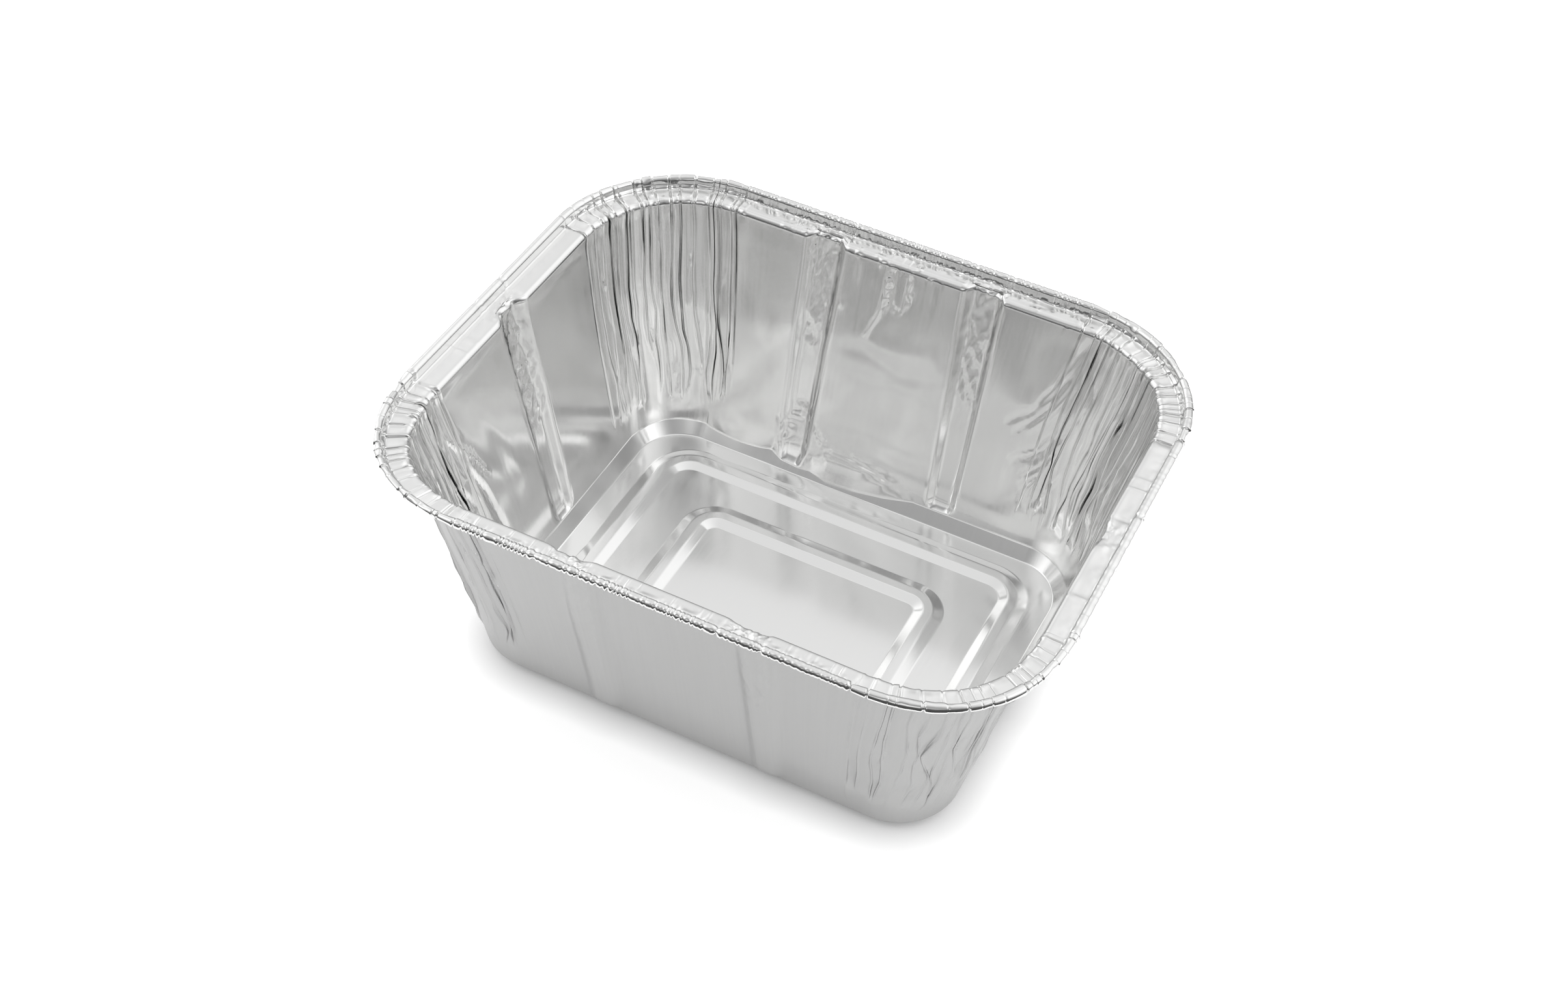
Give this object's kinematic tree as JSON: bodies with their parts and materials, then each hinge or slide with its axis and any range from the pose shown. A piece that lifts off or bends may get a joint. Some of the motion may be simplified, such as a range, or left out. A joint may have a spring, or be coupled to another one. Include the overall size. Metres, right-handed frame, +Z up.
{
  "type": "foil drip tray",
  "caption": "Deep rectangular drip tray pressed from aluminium foil, with gathered corners, fluted walls, ridged floor and rolled rim.",
  "frame": {"origin": "middle of the flat base that the tray rests on", "axes": "+X along the length, +Y across the width, +Z up out of the open mouth"},
  "size_m": [0.152, 0.127, 0.0646],
  "materials": {
    "foil": "bright rolled foil, with fine mill streaks and small creases"
  },
  "bodies": {
    "root": {"foil_tray": "foil"}
  },
  "joints": []
}
